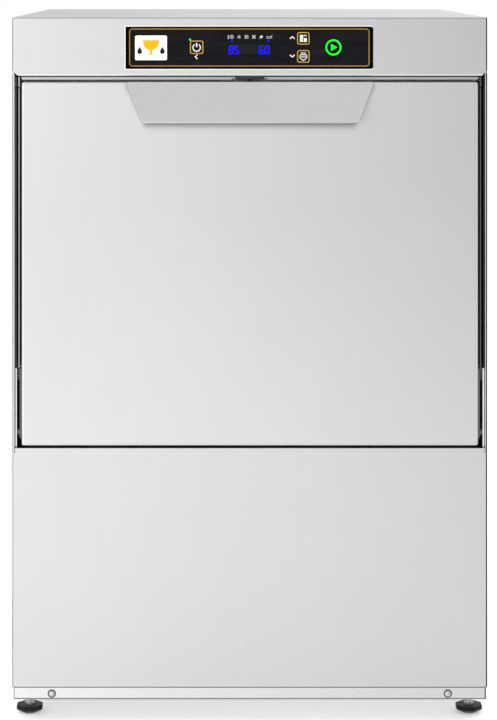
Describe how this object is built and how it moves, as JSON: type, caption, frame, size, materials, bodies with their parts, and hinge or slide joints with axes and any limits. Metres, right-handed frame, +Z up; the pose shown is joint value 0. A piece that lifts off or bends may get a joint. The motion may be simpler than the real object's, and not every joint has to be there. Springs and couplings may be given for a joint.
{
  "type": "glass washer",
  "caption": "Under-counter commercial glass washer: brushed steel cabinet, drop-down door, key panel, rotating wash and rinse arms, pump, boiler and levelling feet.",
  "frame": {"origin": "on the floor under the centre of the bounding box", "axes": "+Z up; the door and control panel face -Y; +X is on the right of someone facing the door"},
  "size_m": [0.47, 0.58, 0.7],
  "materials": {
    "steel_sheet": "fine vertical brushed stainless",
    "polished_steel": "smooth stainless",
    "black_plastic": "moulded black",
    "gloss_black": "gloss black overlay",
    "display_glass": "smoked window with lit digits",
    "circuit_board": "green solder mask",
    "rubber": "matt black",
    "grey_plastic": "moulded grey",
    "white_plastic": "moulded off-white",
    "blue_plastic": "moulded blue",
    "brass": "machined",
    "motor_paint": "satin enamel"
  },
  "bodies": {
    "cabinet": {"base_frame": "steel_sheet", "left_side_panel": "steel_sheet", "right_side_panel": "steel_sheet", "rear_panel": "steel_sheet", "top_cover": "steel_sheet", "service_panel": "steel_sheet", "front_frame": "steel_sheet", "wash_tank": "steel_sheet", "left_rack_guide": "steel_sheet", "right_rack_guide": "steel_sheet", "surface_filter": "steel_sheet", "base_screw_left": "polished_steel", "base_screw_right": "polished_steel", "left_hinge_bracket": "polished_steel", "right_hinge_bracket": "polished_steel", "left_door_strut": "polished_steel", "right_door_strut": "polished_steel", "tank_heater": "polished_steel", "rinse_boiler": "polished_steel", "catch_housing": "black_plastic", "pump_casing": "black_plastic", "mains_cable": "black_plastic", "control_panel": "gloss_black", "display_window": "display_glass", "control_board": "circuit_board", "door_seal": "rubber", "suction_hose": "rubber", "wash_pipe": "rubber", "fill_hose": "rubber", "lower_manifold": "grey_plastic", "upper_manifold": "grey_plastic", "drain_hose": "grey_plastic", "dosing_pump": "grey_plastic", "rinse_pipe": "white_plastic", "inlet_valve": "white_plastic", "boiler_heater": "brass", "pump_motor": "motor_paint"},
    "door": {"door_outer_panel": "steel_sheet", "door_inner_panel": "steel_sheet", "door_handle": "steel_sheet", "catch_strike": "polished_steel", "left_hinge_lever": "polished_steel", "right_hinge_lever": "polished_steel"},
    "catch": {"catch_plunger": "polished_steel"},
    "lower_wash": {"lower_wash_arm": "steel_sheet"},
    "lower_rinse": {"lower_rinse_arm": "steel_sheet"},
    "upper_wash": {"upper_wash_arm": "steel_sheet"},
    "upper_rinse": {"upper_rinse_arm": "steel_sheet"},
    "impeller": {"pump_impeller": "white_plastic"},
    "rotor": {"dosing_rotor": "blue_plastic"},
    "filter": {"sump_filter": "steel_sheet"},
    "standpipe": {"overflow_pipe": "grey_plastic"},
    "power_key": {"power_button": "gloss_black"},
    "program_key": {"program_button": "gloss_black"},
    "service_key": {"service_button": "gloss_black"},
    "start_key": {"start_button": "gloss_black"},
    "front_left_foot": {"foot_front_left": "black_plastic"},
    "front_right_foot": {"foot_front_right": "black_plastic"},
    "rear_left_foot": {"foot_rear_left": "black_plastic"},
    "rear_right_foot": {"foot_rear_right": "black_plastic"}
  },
  "joints": [
    {"name": "door_hinge", "type": "hinge", "parent": "cabinet", "child": "door", "pos_m": [0, -0.253, 0.2875], "axis": [1, 0, 0], "range_deg": [0, 90], "stiffness_Nm_per_rad": 3, "springref_deg": -20.05, "deforming": ["left_door_strut", "right_door_strut"]},
    {"name": "catch_slide", "type": "slide", "parent": "cabinet", "child": "catch", "axis": [0, 0, 1], "range_m": [0, 0.003], "stiffness_N_per_m": 300, "springref_m": -0.004},
    {"name": "lower_wash_spin", "type": "hinge", "parent": "cabinet", "child": "lower_wash", "pos_m": [0, -0.014, 0.2655], "axis": [0, 0, 1], "continuous": true},
    {"name": "lower_rinse_spin", "type": "hinge", "parent": "cabinet", "child": "lower_rinse", "pos_m": [0, -0.014, 0.2832], "axis": [0, 0, 1], "continuous": true},
    {"name": "upper_wash_spin", "type": "hinge", "parent": "cabinet", "child": "upper_wash", "pos_m": [0, -0.014, 0.5949], "axis": [0, 0, 1], "continuous": true},
    {"name": "upper_rinse_spin", "type": "hinge", "parent": "cabinet", "child": "upper_rinse", "pos_m": [0, -0.014, 0.5846], "axis": [0, 0, 1], "continuous": true},
    {"name": "impeller_spin", "type": "hinge", "parent": "cabinet", "child": "impeller", "pos_m": [-0.055, -0.02, 0.1], "axis": [1, 0, 0], "continuous": true},
    {"name": "rotor_spin", "type": "hinge", "parent": "cabinet", "child": "rotor", "pos_m": [-0.175, -0.238, 0.15], "axis": [0, 1, 0], "continuous": true},
    {"name": "filter_lift", "type": "slide", "parent": "cabinet", "child": "filter", "axis": [0, 0, 1], "range_m": [0, 0.06]},
    {"name": "standpipe_lift", "type": "slide", "parent": "cabinet", "child": "standpipe", "axis": [0, 0, 1], "range_m": [0, 0.06]},
    {"name": "power_press", "type": "slide", "parent": "cabinet", "child": "power_key", "axis": [0, 1, 0], "range_m": [0, 0.0008], "stiffness_N_per_m": 600, "springref_m": -0.001},
    {"name": "program_press", "type": "slide", "parent": "cabinet", "child": "program_key", "axis": [0, 1, 0], "range_m": [0, 0.0008], "stiffness_N_per_m": 600, "springref_m": -0.001},
    {"name": "service_press", "type": "slide", "parent": "cabinet", "child": "service_key", "axis": [0, 1, 0], "range_m": [0, 0.0008], "stiffness_N_per_m": 600, "springref_m": -0.001},
    {"name": "start_press", "type": "slide", "parent": "cabinet", "child": "start_key", "axis": [0, 1, 0], "range_m": [0, 0.0008], "stiffness_N_per_m": 600, "springref_m": -0.001},
    {"name": "front_left_foot_turn", "type": "hinge", "parent": "cabinet", "child": "front_left_foot", "pos_m": [-0.221, -0.22, 0], "axis": [0, 0, 1], "continuous": true},
    {"name": "front_right_foot_turn", "type": "hinge", "parent": "cabinet", "child": "front_right_foot", "pos_m": [0.221, -0.22, 0], "axis": [0, 0, 1], "continuous": true},
    {"name": "rear_left_foot_turn", "type": "hinge", "parent": "cabinet", "child": "rear_left_foot", "pos_m": [-0.221, 0.22, 0], "axis": [0, 0, 1], "continuous": true},
    {"name": "rear_right_foot_turn", "type": "hinge", "parent": "cabinet", "child": "rear_right_foot", "pos_m": [0.221, 0.22, 0], "axis": [0, 0, 1], "continuous": true}
  ]
}
